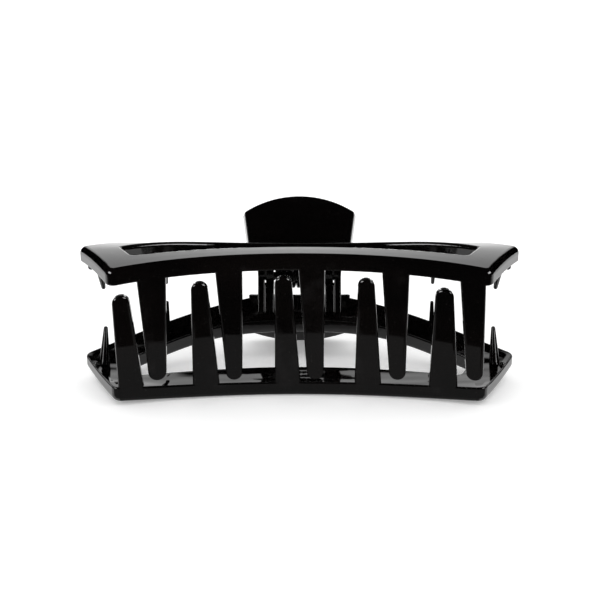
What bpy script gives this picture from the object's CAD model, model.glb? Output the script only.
from functools import reduce
from math import cos, pi, radians, sin

import bpy
from mathutils import Matrix, Vector


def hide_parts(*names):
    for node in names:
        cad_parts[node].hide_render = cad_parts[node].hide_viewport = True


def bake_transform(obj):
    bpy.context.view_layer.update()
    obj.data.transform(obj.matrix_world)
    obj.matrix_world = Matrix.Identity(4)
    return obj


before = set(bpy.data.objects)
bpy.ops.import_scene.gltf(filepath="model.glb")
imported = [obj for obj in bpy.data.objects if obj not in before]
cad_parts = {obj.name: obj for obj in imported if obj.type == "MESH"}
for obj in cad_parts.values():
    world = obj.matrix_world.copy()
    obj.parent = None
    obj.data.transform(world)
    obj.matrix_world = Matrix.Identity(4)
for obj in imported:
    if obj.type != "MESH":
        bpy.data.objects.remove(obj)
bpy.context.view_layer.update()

MM = 0.001

# The clip's own frame, as in the CAD: its mid-plane is tilted a little as it lies
TILT = radians(3.5526)
CLIP_ORIGIN = Vector((0, -19.400, 18.340)) * MM
HINGE_DISTANCE = 39.6 * MM  # from that origin, along the mid-plane
HINGE_LINE = CLIP_ORIGIN + HINGE_DISTANCE * Vector((0, cos(TILT), sin(TILT)))

# ---------------------------------------------------------------- node helpers


class Material:
    """A new node material, with short calls to add and join its nodes."""

    def __init__(self, name):
        self.data = bpy.data.materials.new(name)
        self.data.use_nodes = True
        self.tree = self.data.node_tree
        self.shader = self.tree.nodes["Principled BSDF"]
        self.output = self.tree.nodes["Material Output"]
        self.place = self.add("ShaderNodeTexCoord").outputs["Object"]

    def add(self, kind, **settings):
        node = self.tree.nodes.new(kind)
        for key, value in settings.items():
            setattr(node, key, value)
        return node

    def join(self, source, target):
        self.tree.links.new(source, target)

    def set(self, **values):
        for key, value in values.items():
            self.shader.inputs[key.replace("_", " ")].default_value = value

    def noise(self, scale, detail, roughness=0.5, stretch=(1, 1, 1), turn=(0, 0, 0)):
        """Noise over the object; a stretch under 1 draws it out along that axis."""
        mapping = self.add("ShaderNodeMapping")
        mapping.inputs["Scale"].default_value = stretch
        mapping.inputs["Rotation"].default_value = turn
        self.join(self.place, mapping.inputs["Vector"])
        node = self.add("ShaderNodeTexNoise")
        node.inputs["Scale"].default_value = scale
        node.inputs["Detail"].default_value = detail
        node.inputs["Roughness"].default_value = roughness
        self.join(mapping.outputs["Vector"], node.inputs["Vector"])
        return node.outputs["Fac"]

    def spread(self, value, low, high, to_low=0.0, to_high=1.0):
        """Map a value from one range to another, smoothly and held at its ends."""
        node = self.add("ShaderNodeMapRange", interpolation_type="SMOOTHSTEP")
        for name, number in (
            ("From Min", low), ("From Max", high), ("To Min", to_low), ("To Max", to_high)
        ):
            node.inputs[name].default_value = number
        self.join(value, node.inputs["Value"])
        return node.outputs["Result"]

    def fade(self, value, start, end):
        """1 before start, 0 past end."""
        return self.spread(value, start, end, 1, 0)

    def calc(self, operation, *values):
        node = self.add("ShaderNodeMath", operation=operation)
        for socket, value in zip(node.inputs, values):
            if isinstance(value, (int, float)):
                socket.default_value = value
            else:
                self.join(value, socket)
        return node.outputs["Value"]

    def product(self, *values):
        return reduce(lambda first, second: self.calc("MULTIPLY", first, second), values)

    def total(self, *values):
        return reduce(lambda first, second: self.calc("ADD", first, second), values)

    def mix(self, amount, first, second):
        """Mix two colours by a value."""
        node = self.add("ShaderNodeMix", data_type="RGBA")
        self.join(amount, node.inputs["Factor"])
        for name, colour in (("A", first), ("B", second)):
            socket = [s for s in node.inputs if s.name == name and s.type == "RGBA"][0]
            if isinstance(colour, tuple):
                socket.default_value = (*colour, 1)
            else:
                self.join(colour, socket)
        return [s for s in node.outputs if s.type == "RGBA"][0]

    def bump(self, height, depth, strength, over=None):
        """A bump of that depth, laid over another if there is one."""
        node = self.add("ShaderNodeBump")
        node.inputs["Distance"].default_value = depth
        node.inputs["Strength"].default_value = strength
        self.join(height, node.inputs["Height"])
        if over is not None:
            self.join(over, node.inputs["Normal"])
        return node.outputs["Normal"]

    def edge_wear(self, low, high):
        """1 along convex edges, 0 on flat faces."""
        return self.spread(self.add("ShaderNodeNewGeometry").outputs["Pointiness"], low, high)


# ---------------------------------------------------------------- materials

PLASTIC_DARK = (0.0014, 0.0012, 0.0012)
PLASTIC_WARM = (0.0027, 0.0021, 0.0020)
DUST = (0.03, 0.029, 0.027)
PLASTIC_RUBBED = (0.012, 0.011, 0.011)
STEEL_RUBBED = (0.12, 0.115, 0.11)

RIPPLE_DEPTH = 0.09 * MM
SINK_DEPTH = 1.2 * MM  # sink marks on the inner faces
SCRATCH_DEPTH = 0.004 * MM
DUST_DEPTH = 0.01 * MM
DRAWN_DEPTH = 0.01 * MM  # drawing marks on the steel


def polished_black(name, inner_side):
    """Injection-moulded black plastic: deep gloss, faint flow, dust, rubbed edges.

    The faces turned to the inner side, 1 for up and -1 for down, have sunk unevenly.
    """
    mat = Material(name)
    flow = mat.noise(60, 4, 0.55, stretch=(0.35, 1, 1))
    specks = mat.spread(mat.noise(2600, 1, 0.4), 0.73, 0.79)
    scratches = mat.noise(900, 2, stretch=(0.03, 1, 1), turn=(0, 0.2, 0.5))
    scratches = mat.spread(scratches, 0.62, 0.70)
    patchy = mat.spread(mat.noise(220, 3, 0.6), 0.35, 0.7)
    rubbed = mat.product(mat.edge_wear(0.53, 0.60), patchy)

    colour = mat.mix(mat.spread(flow, 0.4, 0.7), PLASTIC_DARK, PLASTIC_WARM)
    colour = mat.mix(mat.product(specks, 0.5), colour, DUST)
    colour = mat.mix(mat.product(rubbed, 0.35), colour, PLASTIC_RUBBED)
    mat.join(colour, mat.shader.inputs["Base Color"])

    rough = mat.total(
        mat.spread(flow, 0.3, 0.75, 0.028, 0.06),
        mat.product(rubbed, 0.09),
        mat.product(scratches, 0.05),
        mat.product(specks, 0.15),
    )
    mat.join(rough, mat.shader.inputs["Roughness"])

    facing = mat.add("ShaderNodeSeparateXYZ")
    mat.join(mat.add("ShaderNodeTexCoord").outputs["Normal"], facing.inputs["Vector"])
    inner = mat.spread(mat.product(facing.outputs["Z"], inner_side), 0.8, 0.93)
    sinks = mat.product(inner, mat.noise(120, 1, 0.4, stretch=(0.45, 1, 1)))
    rippled = mat.bump(mat.noise(95, 2, stretch=(0.5, 1, 1)), RIPPLE_DEPTH, 0.35)
    sunk = mat.bump(sinks, SINK_DEPTH, 1.0, over=rippled)
    scratched = mat.bump(scratches, SCRATCH_DEPTH, 0.4, over=sunk)
    dusty = mat.bump(specks, DUST_DEPTH, 0.5, over=scratched)
    mat.join(dusty, mat.shader.inputs["Normal"])
    mat.set(IOR=1.5)
    return mat.data


def blackened_steel(name, shade, grain):
    """Oil-blackened steel: drawn along its length, worn bright where it rubs."""
    mat = Material(name)
    drawn = mat.noise(grain, 4, 0.6, stretch=(0.15, 1, 1))
    blotch = mat.noise(350, 3, 0.55)
    dark = tuple(shade * part for part in (0.9, 0.92, 1.0))
    light = tuple(2.4 * shade * part for part in (1.0, 0.97, 0.92))
    colour = mat.mix(mat.spread(blotch, 0.35, 0.7), dark, light)
    colour = mat.mix(mat.product(mat.edge_wear(0.52, 0.62), 0.5), colour, STEEL_RUBBED)
    mat.join(colour, mat.shader.inputs["Base Color"])
    mat.join(mat.spread(drawn, 0.3, 0.7, 0.24, 0.42), mat.shader.inputs["Roughness"])
    mat.join(mat.bump(drawn, DRAWN_DEPTH, 0.4), mat.shader.inputs["Normal"])
    mat.set(Metallic=1.0)
    return mat.data


def assign(name, material):
    for slot in bpy.data.objects[name].material_slots:
        slot.link = "OBJECT"
        slot.material = material


assign("lower_jaw", polished_black("lower_gloss_black", 1))
assign("upper_jaw", polished_black("upper_gloss_black", -1))
assign("hinge_pin", blackened_steel("pin_steel", shade=0.05, grain=900))
SPRING_STEEL = blackened_steel("spring_steel", shade=0.012, grain=1500)
assign("torsion_spring", SPRING_STEEL)

# ---------------------------------------------------------------- spring

WIRE_RADIUS = 0.55 * MM
COIL_RADIUS = 2.8 * MM
COIL_HALF = 6.2 * MM
COIL_WHOLE_TURNS = 9
LEG_LENGTH = 13.1 * MM
LEG_SLANT = radians(7.1)
STEPS_PER_TURN = 32


def spring_path():
    """The middle of the wire: the upper leg, the coil round the pin, the lower leg."""
    turned = 2 * pi * COIL_WHOLE_TURNS - 2 * LEG_SLANT
    steps = COIL_WHOLE_TURNS * STEPS_PER_TURN
    coil = []
    for step in range(steps + 1):
        angle = -LEG_SLANT - turned * step / steps
        along = COIL_HALF * (2 * step / steps - 1)
        coil.append(Vector((along, COIL_RADIUS * cos(angle), COIL_RADIUS * sin(angle))))
    legs = [
        end + LEG_LENGTH * Vector((0, sin(LEG_SLANT), side * cos(LEG_SLANT)))
        for end, side in ((coil[0], 1), (coil[-1], -1))
    ]
    tilt = Matrix.Rotation(TILT, 3, "X")
    return [HINGE_LINE + tilt @ point for point in [legs[0], *coil, legs[1]]]


def wire(name, points, radius):
    """A round wire with flat ends, as a mesh."""
    curve = bpy.data.curves.new(name, "CURVE")
    curve.dimensions = "3D"
    curve.bevel_depth = radius
    curve.bevel_resolution = 3
    curve.use_fill_caps = True
    line = curve.splines.new("POLY")
    line.points.add(len(points) - 1)
    for place, point in zip(line.points, points):
        place.co = (*point, 1)
    drawn = bpy.data.objects.new(name + "_line", curve)
    mesh = bpy.data.meshes.new_from_object(drawn)
    bpy.data.objects.remove(drawn)
    mesh.shade_smooth()
    obj = bpy.data.objects.new(name, mesh)
    bpy.context.scene.collection.objects.link(obj)
    return obj


spring = wire("spring_wire", spring_path(), WIRE_RADIUS)
spring.data.materials.clear()
spring.data.materials.append(SPRING_STEEL)
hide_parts("torsion_spring")
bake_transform(spring)

# ---------------------------------------------------------------- floor and light

FLOOR_SIZE = 6
FLOOR_WHITE = 0.93
FLOOR_GLOW = 0.25  # lifts the clip's shadow, as light from all round does
CARD_HEIGHT = 0.2 * MM
SKY_GLOW = 1.1


def plane(name, centre, size_x, size_y):
    bpy.ops.mesh.primitive_plane_add(size=1, location=centre)
    obj = bpy.context.object
    obj.name = name
    obj.scale = (size_x, size_y, 1)
    return obj


def seen_only_in_gloss(obj):
    for kind in ("camera", "diffuse", "transmission", "volume_scatter", "shadow"):
        setattr(obj, "visible_" + kind, False)


def glow(name):
    """An emission material; returns it with its strength socket."""
    mat = Material(name)
    light = mat.add("ShaderNodeEmission")
    mat.join(light.outputs["Emission"], mat.output.inputs["Surface"])
    return mat, light.inputs["Strength"]


floor = plane("floor", (0, 0, 0), FLOOR_SIZE, FLOOR_SIZE)
mat = Material("floor_white")
mat.set(Base_Color=(FLOOR_WHITE, FLOOR_WHITE, FLOOR_WHITE, 1), Roughness=0.7)
mat.set(Specular_IOR_Level=0.1, Emission_Color=(1, 1, 1, 1), Emission_Strength=FLOOR_GLOW)
floor.data.materials.append(mat.data)

# What the gloss sees on the table: a short stretch of grey in front of the clip with a dark
# studio beyond it, and a brighter sweep behind. Each card: its ends in Y, width, brightness
TABLE_CARDS = {
    "near_table": (-58 * MM, -28 * MM, 1.0, 0.2),
    "bar_table": (-28 * MM, -15 * MM, 0.088, 0.2),
    "dark_studio_floor": (-1.56, -58 * MM, 3.0, 0.004),
    "back_sweep": (100 * MM, 1.5, 0.26, 2.2),
}
for name, (start, end, width, brightness) in TABLE_CARDS.items():
    card = plane(name, (0, (start + end) / 2, CARD_HEIGHT), width, end - start)
    mat, strength = glow(name + "_glow")
    strength.default_value = brightness
    card.data.materials.append(mat.data)
    seen_only_in_gloss(card)

# A dome that only the gloss sees: a bright backdrop low behind, a softbox to each side in
# front, and dark between them
DOME_RADIUS = 1.4
BACKDROP_GLOW = 1.05
HORIZON_GAIN = 1.35  # the backdrop is brighter at its foot
SOFTBOX_GLOW = 11


def at_height(angle):
    """Height on the dome at an angle above its middle, in degrees."""
    return DOME_RADIUS * sin(radians(angle))


bpy.ops.mesh.primitive_uv_sphere_add(segments=48, ring_count=24, radius=DOME_RADIUS)
dome = bpy.context.object
dome.name = "studio_dome"
seen_only_in_gloss(dome)
mat, strength = glow("studio_dome_glow")
axes = mat.add("ShaderNodeSeparateXYZ")
mat.join(mat.place, axes.inputs["Vector"])
up = axes.outputs["Z"]
# The angle round the dome, from straight behind the clip to either side
around = mat.calc("ABSOLUTE", mat.calc("ARCTAN2", axes.outputs["X"], axes.outputs["Y"]))
backdrop = mat.product(
    mat.fade(around, radians(20), radians(26)),
    mat.fade(up, at_height(33), at_height(40)),
    mat.spread(up, at_height(4), at_height(16), HORIZON_GAIN, 1),
    BACKDROP_GLOW,
)
softbox = mat.product(
    mat.spread(around, radians(92), radians(98)),
    mat.fade(around, radians(132), radians(138)),
    mat.spread(up, at_height(26), at_height(29)),
    mat.fade(up, at_height(42), at_height(46)),
    SOFTBOX_GLOW,
)
mat.join(mat.total(backdrop, softbox), strength)
dome.data.materials.append(mat.data)

world = bpy.data.worlds.new("studio")
bpy.context.scene.world = world
world.use_nodes = True
world.node_tree.nodes["Background"].inputs["Color"].default_value = (1, 1, 1, 1)
world.node_tree.nodes["Background"].inputs["Strength"].default_value = SKY_GLOW

# ---------------------------------------------------------------- camera

PICTURE = 600  # pixels across and down
FOCAL = 1221  # the fitted lens, in pixels
SHIFT_X, SHIFT_Y = 0.5, 25  # of the picture's middle, in pixels
SENSOR = 36
VIEW_ANGLE = radians(20)  # above the clip's mid-plane
VIEW_DISTANCE = 300 * MM
cam_data = bpy.data.cameras.new("camera")
cam = bpy.data.objects.new("camera", cam_data)
bpy.context.scene.collection.objects.link(cam)
elevation = VIEW_ANGLE - TILT
cam.location = CLIP_ORIGIN + VIEW_DISTANCE * Vector((0, -cos(elevation), sin(elevation)))
cam.rotation_euler = (pi / 2 - elevation, 0, 0)
cam_data.sensor_width = SENSOR
cam_data.lens = SENSOR * FOCAL / PICTURE
cam_data.shift_x = SHIFT_X / PICTURE
cam_data.shift_y = SHIFT_Y / PICTURE
cam_data.clip_start = 10 * MM
bpy.context.scene.camera = cam
bpy.context.scene.view_settings.view_transform = "Standard"
